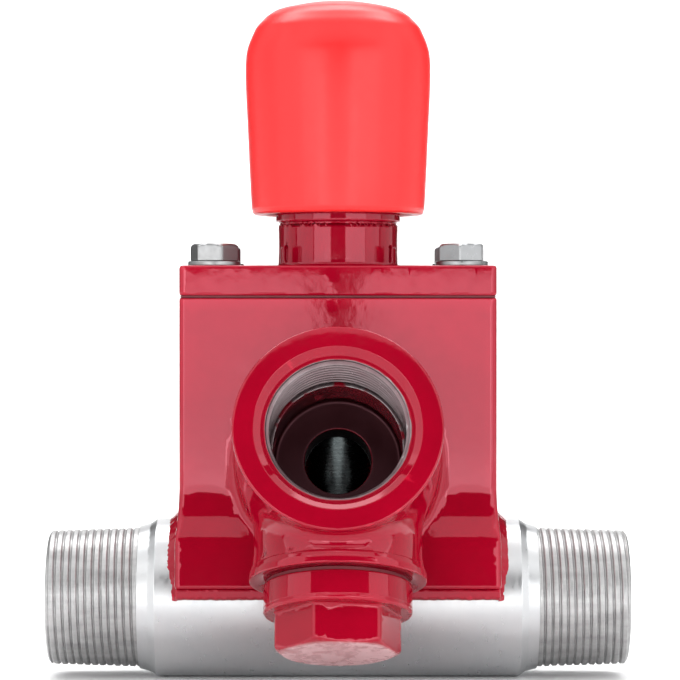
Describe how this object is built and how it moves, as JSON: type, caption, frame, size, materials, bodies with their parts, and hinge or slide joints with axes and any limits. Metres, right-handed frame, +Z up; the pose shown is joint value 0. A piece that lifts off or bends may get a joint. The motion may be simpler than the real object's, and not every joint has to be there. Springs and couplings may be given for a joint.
{
  "type": "plug valve",
  "caption": "Knob-operated plug metering valve: square body welded on a threaded pipe nipple, tilted threaded inlet and hex clean-out plug.",
  "frame": {"origin": "where the valve's vertical axis meets the axis of the pipe run, at the middle of the run", "axes": "+X along the pipe run; +Z up along the stem towards the knob; the inlet port faces -Y and 18 degrees up"},
  "size_m": [0.177, 0.1068, 0.207],
  "materials": {
    "red_paint": "gloss red enamel, slight orange peel",
    "zinc_plate": "bright zinc plate, satin",
    "bolt_zinc": "zinc plated",
    "gasket": "matt fibre, painted edge",
    "fibre_seal": "matt fibre",
    "seat_steel": "turned",
    "rubber_black": "matt",
    "bronze": "turned bearing bronze",
    "brass": "turned",
    "spring_steel": "phosphated",
    "ground_steel": "ground",
    "dark_steel": "polished dark hard steel",
    "coral_plastic": "smooth gloss moulding"
  },
  "bodies": {
    "valve": {"body": "red_paint", "saddle_weld": "red_paint", "run_tube": "zinc_plate", "bonnet": "red_paint", "bonnet_gasket": "gasket", "bonnet_bolts": "bolt_zinc", "bonnet_washers": "bolt_zinc", "inspection_plug": "red_paint", "inspection_plug_seal": "fibre_seal", "seat_ring": "seat_steel", "seat_oring": "rubber_black", "guide_bush": "bronze", "guide_bush_oring": "rubber_black", "plug_wiper": "rubber_black", "bush_retaining_ring": "spring_steel", "guide_pins": "ground_steel", "stem_bush": "bronze", "thrust_washer_lower": "bronze", "thrust_washer_upper": "bronze"},
    "plug": {"metering_plug": "dark_steel", "plug_nut": "bronze"},
    "knob_and_stem": {"knob": "coral_plastic", "knob_insert": "brass", "knob_set_screw": "dark_steel", "lead_screw": "ground_steel", "stem_circlip": "spring_steel", "stem_orings": "rubber_black"}
  },
  "joints": [
    {"name": "knob_turn", "type": "hinge", "parent": "valve", "child": "knob_and_stem", "pos_m": [0, 0, 0.15], "axis": [0, 0, 1], "range_deg": [0, 1440]},
    {"name": "plug_lift", "type": "slide", "parent": "valve", "child": "plug", "axis": [0, 0, 1], "range_m": [0, 0.016]}
  ],
  "couplings": [
    {"joint": "plug_lift", "follows": "knob_turn", "m_per_rad": 0.00063662}
  ]
}
